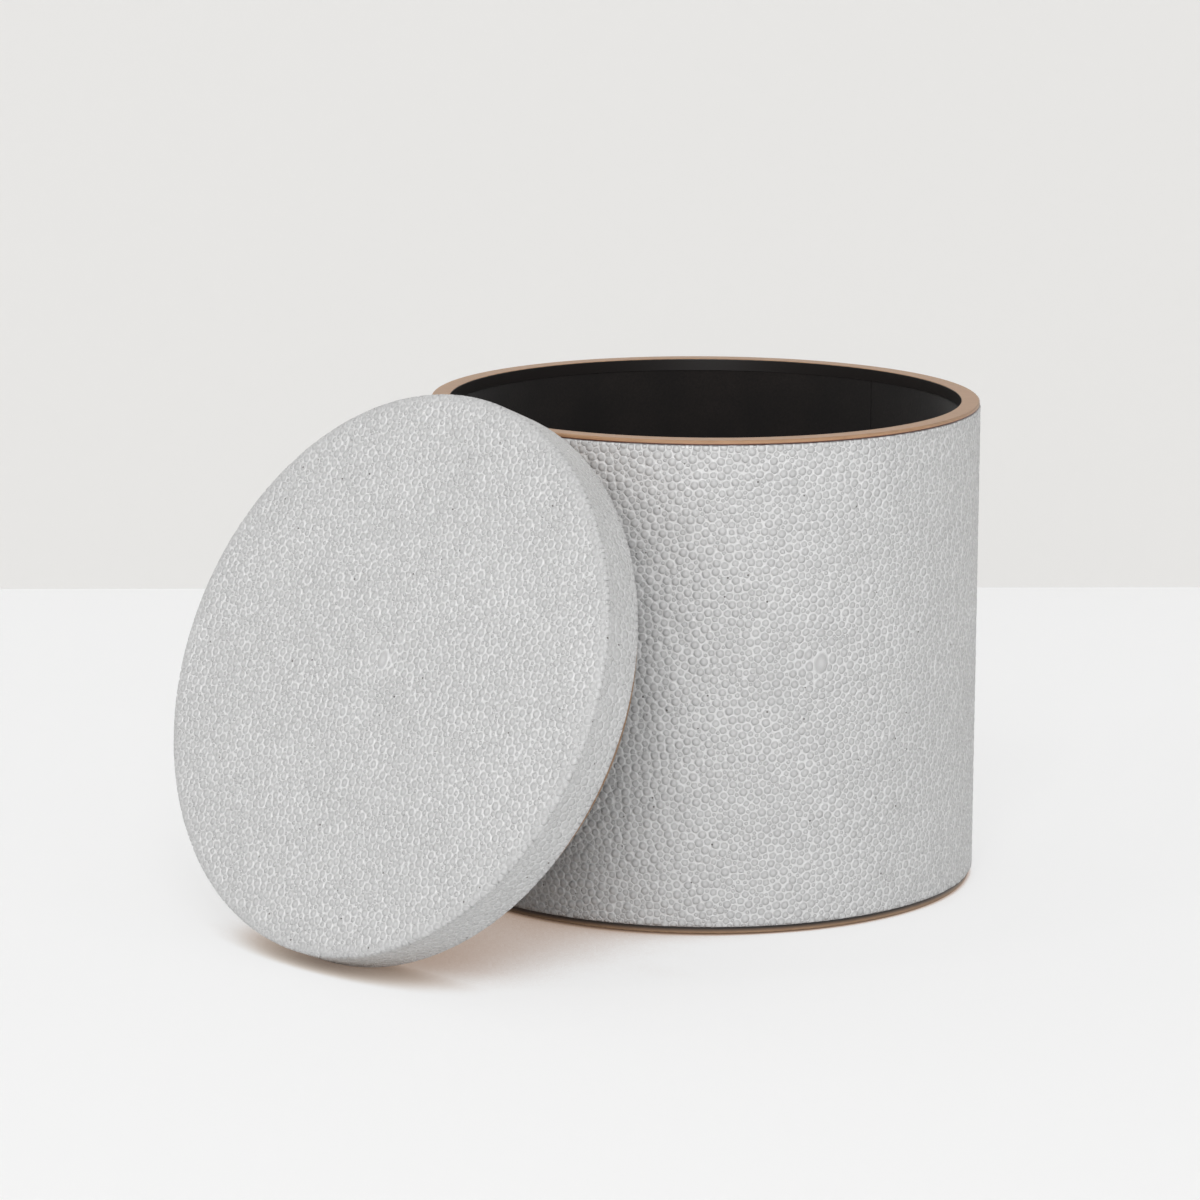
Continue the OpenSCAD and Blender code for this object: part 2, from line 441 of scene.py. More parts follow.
def back_of(corners, loop, disc_edge):
    """The points of the sheet's back and its faces, which point down."""
    low, high = corners.min(0), corners.max(0)
    lines = [np.linspace(low[k], high[k], int((high[k] - low[k]) / step) + 3)[1:-1]
             for k, step in enumerate(BACK_GRID)]
    grid = np.stack(np.meshgrid(*lines), -1).reshape(-1, 2)
    if disc_edge:
        grid = grid[np.hypot(*grid.T) < disc_edge - BACK_MARGIN]
    below = np.concatenate([corners[loop], grid])
    back = delaunay_2d_cdt([tuple(p) for p in below], [], [list(range(len(loop)))], 1, 1e-7)
    origin = [o[0] for o in back[3]]
    return below, [[origin[v] for v in reversed(f)] for f in back[2]]


print("the back's points are", BACK_GRID, "mm apart")

# %% [markdown]
# ## The pebbled sheet: what its finish reads
# The four things that the finish reads are written to the mesh. Larger pebbles get a slightly
# paler tone, and off the pebbles the UV map says that the flank is past.

# %% Attributes of a sheet
OFF_PEBBLE = 1.3


def describe(mesh, flat, rise, press, owner, points, radii, seed):
    """Writes the attributes and the UV map that the pebbled finish reads."""
    random = np.random.default_rng(seed)
    tones = 0.7 * random.random(len(points)) + 0.3 * np.clip(radii - 0.3, 0, 0.7) / 0.7
    tones = np.append(tones, 0.5)
    mesh.attributes.new("tone", "FLOAT", "FACE").data.foreach_set("value", tones[owner])
    mesh.attributes.new("rise", "FLOAT", "POINT").data.foreach_set("value", rise)
    mesh.attributes.new("press", "FLOAT", "POINT").data.foreach_set("value", press)
    corner_of = np.zeros(len(mesh.loops), int)
    mesh.loops.foreach_get("vertex_index", corner_of)
    lengths = np.zeros(len(mesh.polygons), int)
    mesh.polygons.foreach_get("loop_total", lengths)
    who = np.repeat(owner, lengths)
    offset = (flat[corner_of, :2] - points[who]) / radii[who][:, None]
    offset[who < 0] = OFF_PEBBLE
    mesh.uv_layers.new(name="pebble").data.foreach_set("uv", offset.ravel())


print("off the pebbles the UV map says", OFF_PEBBLE, "radii")

# %% [markdown]
# ## The pebbled sheet: raising the pebbles
# Each cell is now raised to a pebble: its border stays down in the valley, its rings rise as
# the profile says, and its middle is the top. The function lay then carries the flat sheet to
# its place on the canister or on the lid.

# %% Raise the pebbles
VALLEY, EDGE_SINK = 0.8, 0.12


def pebbled_sheet(name, points, radii, mirror, lay, relief, disc_edge=None, seed=1):
    """A closed mesh of touching pebbles, laid on the part by the function lay. The function
    relief gives the share of their full height that they have at each place."""
    corners, on_edge, sectors, following = cells(points, radii, mirror, disc_edge)
    pebble, a, b = sectors.T
    count = len(corners)
    levels = rings_for(radii, np.bincount(pebble, minlength=len(points)), on_edge.sum())
    size = radii[pebble]
    reach = np.hypot(*(corners[a] - points[pebble]).T)
    lift = 0.05 + 0.13 * np.minimum(radii, 1.6)
    flat = [np.column_stack([corners, np.full(count, VALLEY)])]
    flat[0][on_edge, 2] = VALLEY - EDGE_SINK
    rise = [np.zeros(count)]
    flat.append(np.column_stack([points, VALLEY + lift]))
    rise.append(np.ones(len(points)))
    total = count + len(points)
    quads, quad_of = [], []
    outer = a.copy()
    for level in (1, 2, 3):
        here = levels[pebble] >= level
        index = np.full(len(pebble), -1)
        index[here] = total + np.arange(here.sum())
        inset, up = np.zeros(len(pebble)), np.zeros(len(pebble))
        for most in range(level, 4):
            these = levels[pebble] == most
            inset[these], up[these] = PROFILE[most][level - 1]
        inset = inset * np.clip(size, 0.5, 1.8) / 1.1
        keep = np.clip(1 - inset / reach, 0.25, 0.9)
        spot = points[pebble] + (corners[a] - points[pebble]) * keep[:, None]
        flat.append(np.column_stack([spot, VALLEY + up * lift[pebble]])[here])
        rise.append(up[here])
        quads.append(np.column_stack([index, outer, outer[following], index[following]])[here])
        quad_of.append(pebble[here])
        outer = np.where(here, index, outer)
        total += here.sum()
    # The first ring's outer border is shared with the neighbours, so it uses the true corners
    quads[0][:, 2] = b[levels[pebble] >= 1]
    last = np.where(levels[pebble] == 0, b, outer[following])
    threes = np.column_stack([count + pebble, outer, last])
    flat, rise = np.concatenate(flat), np.concatenate(rise)
    press = relief(flat[:, 0], flat[:, 1])
    flat[:, 2] = SHEET_T + (flat[:, 2] - SHEET_T) * press
    loop = edge_of(on_edge, a, b)
    below, closing = back_of(corners, loop, disc_edge)
    closing = [[int(total + v) for v in face] for face in closing]
    flat = np.concatenate([flat, np.column_stack([below, np.zeros(len(below))])])
    rise = np.concatenate([rise, np.zeros(len(below))])
    press = np.concatenate([press, np.ones(len(below))])
    under = total + np.arange(len(loop))
    wall = np.column_stack([loop, under, np.roll(under, -1), np.roll(loop, -1)])
    quads = np.concatenate([*quads, wall])
    mesh = bpy.data.meshes.new(name)
    mesh.from_pydata(lay(flat) * MM, [], quads.tolist() + threes.tolist() + closing)
    owner = np.concatenate([*quad_of, np.full(len(wall), -1), pebble,
                            np.full(len(closing), -1)])
    describe(mesh, flat, rise, press, owner, points, radii, seed)
    mesh.validate()
    piece = bpy.data.objects.new(name, mesh)
    bpy.context.scene.collection.objects.link(piece)
    mesh.shade_smooth()
    mesh.materials.append(shagreen)
    triangles = len(threes) + 2 * len(quads) + len(closing)
    print(f"{name}: {len(points)} pebbles, {triangles} triangles, edge of {len(loop)} points")
    return piece


print("pebbles rise from a valley", VALLEY, "mm above the board")

# %% [markdown]
# ## The sheet round the canister
# The strip runs once round the wall, and its ends meet in a butt seam at the back. In front it
# shows the skin's eye: one smooth tall pearl, with a smaller one below it and large pebbles
# round them. The pearl's place is an angle and a height, and the others' are their distances
# from it, across and up, with their radii. Round an eye the skin is drawn out upright.

# %% Sheet round the canister
STRIP = 2 * math.pi * WALL_R - SEAM
BODY_HIGH = SHEET_HIGH - SHEET_LOW


def along(degrees, seam_at):
    """How far along a strip an angle lies, counted from the strip's seam."""
    return math.radians((degrees - seam_at) % 360) * WALL_R - SEAM / 2


EYE_STRETCH = 0.5


def drawn_out(u, v, eye, spread):
    """The heights v after the skin is drawn out round an eye, which fades over spread."""
    near = np.exp(-((u - eye[0]) ** 2 + (v - eye[1]) ** 2) / spread ** 2)
    return v + EYE_STRETCH * (v - eye[1]) * near


eye = (along(-23.16, 90), 52.0 - SHEET_LOW)
body_pearls = [(eye[0], eye[1], 1.5)]
for dx, dy, r in ((0.0, -8.0, 1.0), (-0.1, 5.2, 1.05), (-2.3, 4.5, 0.85), (-2.5, 1.3, 0.9),
                  (-2.1, -1.8, 0.8), (2.0, -2.1, 0.85), (-0.1, -3.15, 1.05), (-2.2, -4.2, 0.9),
                  (2.0, -4.5, 0.9), (2.2, 3.3, 0.9), (2.5, 0.5, 0.85)):
    body_pearls.append((eye[0] + dx, eye[1] + dy, r))


def body_lay(flat):
    """Wraps the flat strip round the wall, and draws the eye out upright."""
    u, v, w = flat.T
    v = drawn_out(u, v, eye, 4.2)
    angle = math.pi / 2 + (SEAM / 2 + u) / WALL_R
    r = BOARD_R + w
    return np.column_stack([r * np.cos(angle), r * np.sin(angle), SHEET_LOW + v])


def body_mirror(p):
    """Mirrors centres across the edges of the wall's strip."""
    return mirror_strip(p, STRIP, BODY_HIGH)


points, radii = scatter((0, 0), (STRIP, BODY_HIGH), lambda x, y: (x > 0) & (y > 0) &
                        (x < STRIP) & (y < BODY_HIGH), body_pearls, seed=11)
points = settle(points, radii, body_mirror)
body_sheet = pebbled_sheet("pebbled_sheet_body", points, radii, body_mirror, body_lay,
                           lambda u, v: np.ones(len(u)))
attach(body_sheet, "canister")
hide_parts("body_sheet")

# %% [markdown]
# ## The sheets on the lid
# A disc of the same skin covers the lid's top and is rolled over its edge, and a strip runs
# round the side below it, butted where the lid stands on it. The disc is laid flat up to the
# bend, then round the bend, and a short way down. Handling and gluing have pressed the pebbles
# flatter near the lid's edge and on its side, so their relief falls over the last 3 mm.

# %% Sheet over the lid's top
PRESSED, PRESSED_OVER = 0.3, 3
TOP_RELIEF, SIDE_RELIEF, EDGE_PRESSED = 0.9, 0.5, 0.6
DISC_EDGE = WALL_R - LID_ROUND + LID_ROUND * math.pi / 2 + (LID_T - LID_ROUND - STRIP_HIGH)
lid_eye = (-0.56, 2.18)
lid_pearls = [(*lid_eye, 1.35)]
for x, y, r in ((2.25, 6.5, 1.15), (0.8, 9.4, 1.1), (-3.6, 5.6, 1.05), (-0.7, 5.8, 1.0),
                (4.5, 5.4, 0.95), (2.0, 2.7, 0.9), (-3.2, 2.3, 0.85), (-2.0, -1.4, 0.95),
                (0.8, -1.3, 0.85), (3.8, 9.3, 1.0), (-0.9, -4.2, 1.0)):
    lid_pearls.append((x, y, r))


def disc_lay(flat):
    """Lays the flat disc over the lid's top and round its edge."""
    u, v, w = flat.T
    v = drawn_out(u, v, lid_eye, 4.0)
    reach, angle = np.hypot(u, v), np.arctan2(v, u)
    flat_r = WALL_R - LID_ROUND
    bend = np.clip((reach - flat_r) / LID_ROUND, 0, math.pi / 2)
    down = np.clip(reach - flat_r - LID_ROUND * math.pi / 2, 0, None)
    thick = w - SHEET_T
    r = np.minimum(reach, flat_r) + (LID_ROUND + thick) * np.sin(bend)
    z = LID_T - LID_ROUND + (LID_ROUND + thick) * np.cos(bend) - down
    return lean_over(np.column_stack([r * np.cos(angle), r * np.sin(angle), z]))


def lean_over(spots):
    """Carries points in millimetres from the closed lid to the leaning one."""
    m = np.array(leaning)
    return spots @ m[:3, :3].T + m[:3, 3] / MM


def disc_mirror(p):
    """Mirrors centres across the edge of the lid's disc."""
    return mirror_disc(p, DISC_EDGE)


def disc_relief(u, v):
    """Pebbles stand up less towards the edge of the lid's top."""
    inside = DISC_EDGE - EDGE_PRESSED - np.hypot(u, v)
    return np.clip(inside / PRESSED_OVER, PRESSED, TOP_RELIEF)


points, radii = scatter((-DISC_EDGE, -DISC_EDGE), (DISC_EDGE, DISC_EDGE),
                        lambda x, y: x * x + y * y < DISC_EDGE ** 2, lid_pearls, seed=23)
points = settle(points, radii, disc_mirror, DISC_EDGE)
lid_disc = pebbled_sheet("pebbled_sheet_lid_top", points, radii, disc_mirror, disc_lay,
                         disc_relief, DISC_EDGE)
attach(lid_disc, "lid")
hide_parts("lid_top_sheet")

# %% Strip round the lid's side
SIDE_HIGH = STRIP_HIGH - STRIP_LOW


def strip_lay(flat):
    """Wraps the flat strip round the lid's side."""
    u, v, w = flat.T
    angle = -math.pi / 2 + (SEAM / 2 + u) / WALL_R
    r = BOARD_R + w
    return lean_over(np.column_stack([r * np.cos(angle), r * np.sin(angle), STRIP_LOW + v]))


def side_mirror(p):
    """Mirrors centres across the edges of the lid's strip."""
    return mirror_strip(p, STRIP, SIDE_HIGH)


def side_relief(u, v):
    """Pebbles stand up less towards the upper edge of the lid's side."""
    return np.clip((SIDE_HIGH - v) / PRESSED_OVER, PRESSED, SIDE_RELIEF)


points, radii = scatter((0, 0), (STRIP, SIDE_HIGH), lambda x, y: (x > 0) & (y > 0) &
                        (x < STRIP) & (y < SIDE_HIGH),
                        [(along(13.3, -90), 5.6, 1.15), (along(6.3, -90), 5.2, 1.1)], seed=37)
points = settle(points, radii, side_mirror)
lid_strip = pebbled_sheet("pebbled_sheet_lid_side", points, radii, side_mirror, strip_lay,
                          side_relief)
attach(lid_strip, "lid")
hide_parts("lid_side_sheet")

# %% [markdown]
# ## Tan lacquered board
# The ring round the mouth, the foot, the board under the lid and its plug are dense board, cut,
# sanded and lacquered tan. The ring is the plain tan; the foot is painted a greyer tan and the
# lid's board and plug a darker one, as painted shade, so there are three tones. The lacquer is
# smooth and satin, with a faint mottling from the board under it and a fine grain from
# sanding. Where the sheet's cut edges meet it, the lacquer is painted dark, as painted shade of
# the gap under the sheet: a thin line at the ring's lower edge, and a band on the foot that
# darkens upwards. The ring's inner face is black, as the lining is.

# %% Tan lacquered board
SHADE_DEPTH, LINED_BLUR = 0.2, 0.03
OUT_OF_REACH = 900


def lacquer(name, tones, unshaded_at, shaded_at, shade_colour, lined=-1):
    """Lacquer mottled in two tones. Outside the board's radius it takes painted shade, none at one
    height and full at the other, and inside the radius lined it is black, in millimetres."""
    coat, shader = new_finish(name, {"Roughness": 0.42, "IOR": 1.5})
    place = add(coat, "TexCoord")
    mottle = add(coat, "TexNoise", {"Scale": 1 / 0.0025, "Detail": 4.0},
                 {"Vector": place.outputs["Object"]})
    tint = add(coat, "Mix", {"data_type": "RGBA", 6: linear(tones[0]), 7: linear(tones[1])},
               {0: mottle.outputs["Fac"]})
    height = add(coat, "SeparateXYZ", {}, {0: place.outputs["Object"]})
    # Painted shade: the lacquer darkens by height beside the sheet's cut edge
    shade_by_height = add(coat, "MapRange", {"interpolation_type": "SMOOTHSTEP", "From Min": unshaded_at * MM,
                "From Max": shaded_at * MM}, {"Value": height.outputs["Z"]})
    plan = add(coat, "VectorMath", {"operation": "MULTIPLY", 1: (1, 1, 0)},
               {0: place.outputs["Object"]})
    radius = add(coat, "VectorMath", {"operation": "LENGTH"}, {0: plan.outputs[0]})
    outside = add(coat, "MapRange", {"From Min": (BOARD_R - SHADE_DEPTH) * MM,
                  "From Max": BOARD_R * MM}, {"Value": radius.outputs["Value"]})
    both = add(coat, "Math", {"operation": "MULTIPLY"},
               {0: shade_by_height.outputs[0], 1: outside.outputs[0]})
    edge = add(coat, "Mix", {"data_type": "RGBA", 7: linear(shade_colour)},
               {0: both.outputs[0], 6: tint.outputs[2]})
    unlined = add(coat, "MapRange", {"From Min": lined * MM,
                  "From Max": (lined + LINED_BLUR) * MM}, {"Value": radius.outputs["Value"]})
    cover = add(coat, "Mix", {"data_type": "RGBA", 6: linear("#171210")},
                {0: unlined.outputs[0], 7: edge.outputs[2]})
    fine = add(coat, "TexNoise", {"Scale": 1 / 0.0003, "Detail": 2.0},
               {"Vector": place.outputs["Object"]})
    bump = add(coat, "Bump", {"Strength": 0.4, "Distance": 0.02 * MM},
               {"Height": fine.outputs["Fac"]})
    complete(coat, shader, cover, bump)
    return coat


# The rim's painted shade is a line at its lower edge, and the foot's darkens towards its upper
# one; the lid has none, so its line is set out of reach. The lid's tones and the foot's are
# painted shade too.
tan = lacquer("satin_lacquer_on_board_shaded", ("#8C6D52", "#9C7D60"), OUT_OF_REACH,
              OUT_OF_REACH + 1, "#3A2A22")
rim_tan = lacquer("satin_lacquer_on_rim", ("#A07B5C", "#B28D6C"), 94.42, 94.3, "#5A2F24",
                  MOUTH_R + LINED_BLUR)
foot_tan_shaded = lacquer("satin_lacquer_on_foot_shaded", ("#94765C", "#A5876B"), 0.25, 1.3, "#241C18")
for node, lacquered in (("rim_ring", rim_tan), ("base_board", foot_tan_shaded), ("lid_lip_board", tan),
                        ("plug_core", tan)):
    cover_node(node, lacquered)

# %% [markdown]
# ## Raw fibreboard
# The tube and the lid's core are raw fibreboard under the sheet, seen only in the fine gaps.
# It has short pressed fibres, drawn as stretched noise.

# %% Raw fibreboard
board, shader = new_finish("fibreboard_raw", {"Roughness": 0.9, "IOR": 1.45})
place = add(board, "TexCoord")
turn = add(board, "Mapping", {"Scale": (1, 1, 3)}, {"Vector": place.outputs["Object"]})
fibre = add(board, "TexNoise", {"Scale": 1 / 0.0012, "Detail": 5.0, "Distortion": 0.6},
            {"Vector": turn.outputs[0]})
tint = add(board, "Mix", {"data_type": "RGBA", 6: linear("#6B543C"), 7: linear("#8A7050")},
           {0: fibre.outputs["Fac"]})
bump = add(board, "Bump", {"Strength": 0.6, "Distance": 0.05 * MM},
           {"Height": fibre.outputs["Fac"]})
complete(board, shader, tint, bump)
for node in ("wall_tube", "lid_core"):
    cover_node(node, board)

# %% [markdown]
# ## Black flocked lining and foot felt
# Flock is paper dusted with very short upright fibres. It hardly shines, and its fibre tips
# catch a faint glow at a grazing angle, which the sheen gives. Felt is pressed wool: matted
# fibres of slightly different browns.

# %% Flock and felt
soft_finishes = {}
for name, dark, light, grain, deep, sheen in (
        ("flocked_paper_black", "#0E0B0A", "#1B1614", 0.00045, 0.06, 0.12),
        ("pressed_wool_felt_brown", "#6E5846", "#9B8069", 0.0009, 0.18, 0.25)):
    cover, shader = new_finish(name, {"Roughness": 0.95, "IOR": 1.4, "Sheen Weight": sheen,
                                      "Sheen Roughness": 0.5})
    place = add(cover, "TexCoord")
    nap = add(cover, "TexNoise", {"Scale": 1 / grain, "Detail": 5.0, "Distortion": 0.8},
              {"Vector": place.outputs["Object"]})
    patch = add(cover, "TexNoise", {"Scale": 1 / 0.011, "Detail": 2.0},
                {"Vector": place.outputs["Object"]})
    both = add(cover, "Math", {"operation": "MULTIPLY"},
               {0: nap.outputs["Fac"], 1: patch.outputs["Fac"]})
    spread = add(cover, "MapRange", {"From Min": 0.12, "From Max": 0.42},
                 {"Value": both.outputs[0]})
    tint = add(cover, "Mix", {"data_type": "RGBA", 6: linear(dark), 7: linear(light)},
               {0: spread.outputs[0]})
    bump = add(cover, "Bump", {"Strength": 0.8, "Distance": deep * MM},
               {"Height": nap.outputs["Fac"]})
    complete(cover, shader, tint, bump)
    soft_finishes[name] = cover

# %% [markdown]
# ## Helpers for modelling
# An operator works on whatever is selected, and the CAD parts are still selected from loading.
# So everything is let go before a new primitive is added, and in edit mode the faces and edges
# to work on are picked by their place.

# %% Helpers for modelling
def start(operator, name, stretch=(1, 1, 1), **settings):
    """Adds a primitive with nothing else selected, and applies its place and size."""
    bpy.ops.object.select_all(action="DESELECT")
    operator(**settings)
    piece = bpy.context.object
    piece.scale = stretch
    piece.name = piece.data.name = name
    bpy.ops.object.transform_apply(location=True, rotation=True, scale=True)
    bpy.ops.object.mode_set(mode="EDIT")
    return piece


def pick(piece, kind, wanted):
    """In edit mode, selects only the faces, edges or verts for which wanted(element) is true."""
    bpy.ops.mesh.select_all(action="DESELECT")
    bpy.ops.mesh.select_mode(type={"faces": "FACE", "edges": "EDGE", "verts": "VERT"}[kind])
    shape = bmesh.from_edit_mesh(piece.data)
    found = [element for element in getattr(shape, kind) if wanted(element)]
    for element in found:
        element.select_set(True)
    shape.select_flush_mode()
    bmesh.update_edit_mesh(piece.data)
    return len(found)


def leave(piece, finish, body, node, slot, carry=None, angle=40):
    """Ends edit mode, finishes the piece and ties it to the frame."""
    bpy.ops.mesh.select_all(action="SELECT")
    bpy.ops.mesh.remove_doubles(threshold=0.001 * MM)
    bpy.ops.mesh.normals_make_consistent(inside=False)
    bpy.ops.object.mode_set(mode="OBJECT")
    bpy.ops.object.shade_smooth_by_angle(angle=math.radians(angle))
    for modifier in list(piece.modifiers):
        bpy.ops.object.modifier_apply(modifier=modifier.name)
    if carry is not None:
        piece.matrix_world = carry
        bpy.ops.object.transform_apply(location=True, rotation=True, scale=True)
    piece.data.materials.clear()
    piece.data.materials.append(finish)
    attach(piece, body)
    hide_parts(node)
    print(f"{piece.name}: {len(piece.data.polygons)} faces")
    return piece


# %% [markdown]
# ## The strips on the round walls
# Inside the canister a strip of flocked paper is glued in with its ends butted, and a strip of
# tan lacquered card goes round the plug. The section is a thin upright rectangle with softened
# corners, so it is drawn as a plane on edge, its corners are bevelled, and it is spun round the
# axis to just short of a full turn.

# %% Strips on the round walls
def round_lining(name, inner, outer, low, high, seam_at, finish, **last):
    """A strip spun round the upright axis, with its butt seam at an angle."""
    thick, tall = outer - inner, high - low
    turn = math.radians(seam_at) + SEAM / outer / 2
    middle = (inner + outer) / 2
    piece = start(bpy.ops.mesh.primitive_plane_add, name, size=1, rotation=(math.pi / 2, 0, turn),
                  location=(middle * MM * math.cos(turn), middle * MM * math.sin(turn),
                            (low + high) / 2 * MM), stretch=(thick * MM, tall * MM, 1))
    bpy.ops.mesh.select_all(action="SELECT")
    bpy.ops.mesh.bevel(offset=0.12 * MM, segments=2, affect="VERTICES")
    bpy.ops.mesh.select_all(action="SELECT")
    bpy.ops.mesh.spin(steps=180, angle=2 * math.pi - SEAM / outer, axis=(0, 0, 1),
                      center=(0, 0, 0))
    return leave(piece, finish, **last)


round_lining("inner_wall_flock", LINING_R, LINING_R + LINING_T, FLOOR_Z, LINING_TOP, 90,
             soft_finishes["flocked_paper_black"], body="canister", node="inner_lining",
             slot="black_lining")
round_lining("plug_side_strip", PLUG_R - LINING_T, PLUG_R, LINING_T - PLUG_DEPTH + PLUG_CHAMFER,
             0, 90, tan, body="lid", node="plug_side_lining", slot="tan_lacquered_board",
             carry=leaning)

# %% [markdown]
# ## The pad, the plug's face and the foot felt
# Three soft discs: a flocked pad on the canister's floor, the flocked face of the plug, and
# the felt under the foot. Each starts as a circle that is extruded to its thickness. Its upper
# edge is rounded with a bevel, and rings set into the face let its middle rise a little, as
# soft covers do over their card.

# %% Soft discs
CROWN_RINGS = 7


def soft_disc(name, radius, low, thick, rounding, crown, finish, **last):
    """A thin disc with a rounded upper edge and a face that swells by crown."""
    piece = start(bpy.ops.mesh.primitive_circle_add, name, vertices=160, radius=radius * MM,
                  fill_type="NGON", location=(0, 0, low * MM))
    bpy.ops.mesh.select_all(action="SELECT")
    bpy.ops.mesh.extrude_region_move(TRANSFORM_OT_translate={"value": (0, 0, thick * MM)})
    top = (low + thick) * MM
    pick(piece, "edges", lambda e: all(abs(v.co.z - top) < 1e-6 for v in e.verts)
         and all(math.hypot(*v.co.xy) > radius * MM * 0.99 for v in e.verts))
    bpy.ops.mesh.bevel(offset=rounding * MM, segments=4, profile=0.5)
    pick(piece, "faces", lambda f: f.normal.z > 0.99 and len(f.verts) > 100)
    steps = CROWN_RINGS + 2
    for ring in range(CROWN_RINGS):
        bpy.ops.mesh.inset(thickness=radius * MM / steps)
        share = 1 - (1 - (ring + 1) / steps) ** 2
        before = 1 - (1 - ring / steps) ** 2
        bpy.ops.transform.translate(value=(0, 0, crown * MM * (share - before)))
    bpy.ops.mesh.poke()
    return leave(piece, finish, **last)


pad = soft_disc("inner_floor_pad", LINING_R, FLOOR_Z, PAD_T, 0.25, 0.1,
                soft_finishes["flocked_paper_black"], body="canister", node="inner_pad",
                slot="black_lining")
plug_face = Matrix.Rotation(math.pi, 4, "X")
soft_disc("plug_face_flock", PLUG_FACE_R, PLUG_DEPTH - LINING_T, LINING_T, 0.15, 0.05,
          soft_finishes["flocked_paper_black"], body="lid", node="plug_face_lining",
          slot="black_lining", carry=leaning @ plug_face)
soft_disc("foot_felt_disc", FELT_R, -FELT_T, FELT_T, 0.3, 0.0,
          soft_finishes["pressed_wool_felt_brown"], body="canister", node="base_felt",
          slot="foot_felt", carry=plug_face)

# %% [markdown]
# ## The room
# The photograph has a pale floor that ends at a slightly darker wall, a little out of square
# to the camera. The floor's colour is painted darker by how sheltered each place is, as painted
# contact shade: in the shade of the lid it is painted brown, which stands for the light that
# comes off the tan board, and in front of the lid it is painted grey, so each place has a row
# of painted shades from the contact to the open floor. Both sheets are clear from behind, so
# that they never hide the canister when it is looked at from the back or from below. The floor
# lies a hair below the felt, because two faces in one plane would flicker.

# %% Floor and wall
CAMERA_TURN = math.radians(43.847)
room_right = Vector((math.cos(CAMERA_TURN), math.sin(CAMERA_TURN), 0))
room_back = Vector((-math.sin(CAMERA_TURN), math.cos(CAMERA_TURN), 0))
WALL_BEHIND, WALL_SKEW = 0.2866, 0.0289
HALF, HIGH, FLOOR_DROP = 3, 2.5, 0.06 * MM
near, far = WALL_BEHIND - HALF * WALL_SKEW, WALL_BEHIND + HALF * WALL_SKEW
# Painted shades by how open a place is to the air, from 0 at the contact, and where they give
# way to the next row or to the open floor, in metres from the canister's axis
PAINTED_SHADE_UNDER_LID = ((0.0, "#7A6455"), (0.2, "#B09784"), (0.333, "#C7B3A6"))
PAINTED_SHADE_BEFORE_LID = ((0.0, "#6B625B"), (0.12, "#A2978D"), (0.3, "#D0C7BE"))
OPEN_AIR, SHELTER_REACH = 0.5, 0.06
LID_FOOT, SHADE_END = (0.09, 0.11), (0.18, 0.22)
for name, colour, even, corners in (
        ("floor", "#F4F4F4", 0.72,
         ((-HALF, -HALF, 0), (HALF, -HALF, 0), (HALF, HALF, 0), (-HALF, HALF, 0))),
        ("backdrop", "#E7E6E4", 0.8,
         ((-HALF, near, 0), (HALF, far, 0), (HALF, far, HIGH), (-HALF, near, HIGH)))):
    matt, shader = new_finish("matt_paper_" + name, {"Roughness": 1.0, "Specular IOR Level": 0.1})
    shelter = add(matt, "AmbientOcclusion", {"Distance": SHELTER_REACH, "samples": 16})
    spot = add(matt, "TexCoord")
    reach = add(matt, "VectorMath", {"operation": "LENGTH"}, {0: spot.outputs["Object"]})
    beyond = add(matt, "MapRange", {"From Min": SHADE_END[0], "From Max": SHADE_END[1]},
                 {"Value": reach.outputs["Value"]})
    painted_shade_rows = []
    for stops in (PAINTED_SHADE_UNDER_LID, PAINTED_SHADE_BEFORE_LID):
        row = add(matt, "ValToRGB", {}, {"Fac": shelter.outputs["AO"]})
        first, last = row.color_ramp.elements
        first.color, last.position, last.color = linear(stops[0][1]), OPEN_AIR, linear(colour)
        for openness, code in stops[1:]:
            row.color_ramp.elements.new(openness).color = linear(code)
        painted_shade_rows.append(row.outputs["Color"])
    before = add(matt, "MapRange", {"From Min": LID_FOOT[0], "From Max": LID_FOOT[1]},
                 {"Value": reach.outputs["Value"]})
    painted_floor_shade = add(matt, "Mix", {"data_type": "RGBA"},
                 {0: before.outputs[0], 6: painted_shade_rows[0], 7: painted_shade_rows[1]})
    tint = add(matt, "Mix", {"data_type": "RGBA", 7: linear(colour)},
               {0: beyond.outputs[0], 6: painted_floor_shade.outputs[2]})
    # Camera and glossy rays see the floor partly as a glow of this colour, painted shade included
    glow = add(matt, "Emission", {"Strength": 1.0}, {"Color": tint.outputs[2]})
    path = add(matt, "LightPath")
    seen = add(matt, "Math", {"operation": "MAXIMUM"},
               {0: path.outputs["Is Camera Ray"], 1: path.outputs["Is Glossy Ray"]})
    part = add(matt, "Math", {"operation": "MULTIPLY", 1: even}, {0: seen.outputs[0]})
    both = add(matt, "MixShader", {}, {0: part.outputs[0], 1: shader.outputs[0],
                                       2: glow.outputs[0]})
    matt.node_tree.links.new(tint.outputs[2], shader.inputs["Base Color"])
    side = add(matt, "NewGeometry")
    clear = add(matt, "BsdfTransparent")
    one_sided = add(matt, "MixShader", {}, {0: side.outputs["Backfacing"], 1: both.outputs[0],
                                            2: clear.outputs[0]})
    matt.node_tree.links.new(one_sided.outputs[0],
                             matt.node_tree.nodes["Material Output"].inputs["Surface"])
    sheet = bpy.data.meshes.new(name)
    sheet.from_pydata([room_right * x + room_back * y + Vector((0, 0, z - FLOOR_DROP))
                       for x, y, z in corners], [], [(0, 1, 2, 3)])
    sheet.materials.append(matt)
    piece = bpy.data.objects.new(name, sheet)
    bpy.context.scene.collection.objects.link(piece)
print("the wall stands", WALL_BEHIND, "m behind the axis")

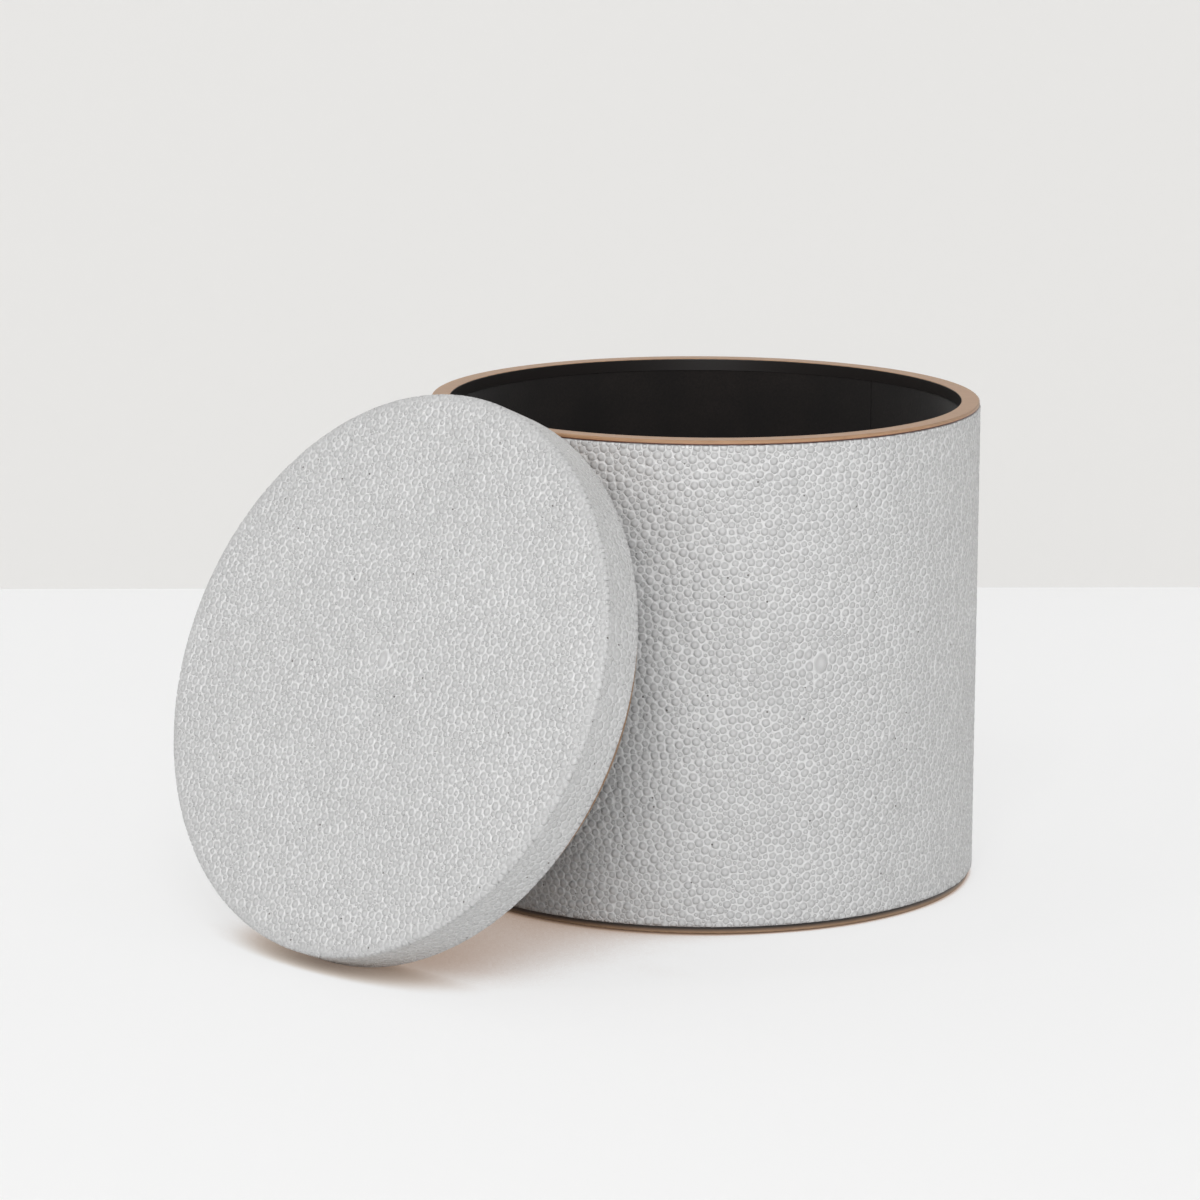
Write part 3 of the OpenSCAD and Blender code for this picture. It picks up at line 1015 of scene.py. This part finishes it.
# %% [markdown]
# ## Light
# The light is a bright white room, which gives most of it, so shadows stay soft. One large
# soft source stands high behind the camera. A small one far to the left puts the glints on the
# pebbles' shoulders, and a low fill behind the camera opens the shade that the lid throws on
# the wall. The camera sees the room brighter than the room lights, so that views from other
# sides have a pale background too.

# %% Light
ROOM_LIGHTS, ROOM_AS_SEEN = 0.56, 0.8
world = bpy.data.worlds.new("white_room")
world.use_nodes = True
room_light = world.node_tree.nodes["Background"]
room_light.inputs["Color"].default_value = (1, 1, 1, 1)
path = add(world, "LightPath")
strength = add(world, "MapRange", {"To Min": ROOM_LIGHTS, "To Max": ROOM_AS_SEEN},
               {"Value": path.outputs["Is Camera Ray"]})
world.node_tree.links.new(strength.outputs[0], room_light.inputs["Strength"])
bpy.context.scene.world = world

AIM_UP = 0.05


def softbox(name, right, back, up, size, watts):
    """A square soft light that faces the canister's middle, placed from the camera's side, in
    metres."""
    lamp = bpy.data.lights.new(name, "AREA")
    lamp.shape, lamp.size, lamp.energy = "SQUARE", size, watts
    holder = bpy.data.objects.new(name, lamp)
    holder.location = room_right * right + room_back * back + Vector((0, 0, up))
    aim = Vector((0, 0, AIM_UP)) - holder.location
    holder.rotation_euler = aim.to_track_quat("-Z", "Y").to_euler()
    bpy.context.scene.collection.objects.link(holder)


softbox("key_softbox", -0.05, -1.2, 1.1, 0.6, 7.6)
softbox("glint_softbox", -0.9, -0.53, 0.75, 0.15, 1.0)
softbox("fill_softbox", -0.08, -1.2, 0.4, 0.4, 3.4)

# %% [markdown]
# ## The camera
# The camera was solved from the photograph's ellipses: the rim, the foot and the lid's two
# circles. It stands about 0.95 m away with a long lens, looks down by 11 degrees and is turned
# a little about its own axis.

# %% Camera
PITCH, ROLL = math.radians(11.312), math.radians(-0.234)
CAMERA_AT = (0.627334, -0.682776, 0.239419)
ahead = room_back * math.cos(PITCH) - Vector((0, 0, math.sin(PITCH)))
upward = room_back * math.sin(PITCH) + Vector((0, 0, math.cos(PITCH)))
view_x = room_right * math.cos(ROLL) - upward * math.sin(ROLL)
view_y = room_right * math.sin(ROLL) + upward * math.cos(ROLL)
lens = bpy.data.cameras.new("camera")
lens.lens, lens.sensor_width = 142.943, 36
lens.clip_start, lens.clip_end = 0.01, 20
camera = bpy.data.objects.new("camera", lens)
camera.matrix_world = Matrix.Translation(CAMERA_AT) @ Matrix(
    (view_x, view_y, -ahead)).transposed().to_4x4()
bpy.context.scene.collection.objects.link(camera)
bpy.context.scene.camera = camera
bpy.context.scene.view_settings.view_transform = "Standard"
print("camera at", [round(x, 3) for x in camera.matrix_world.translation])
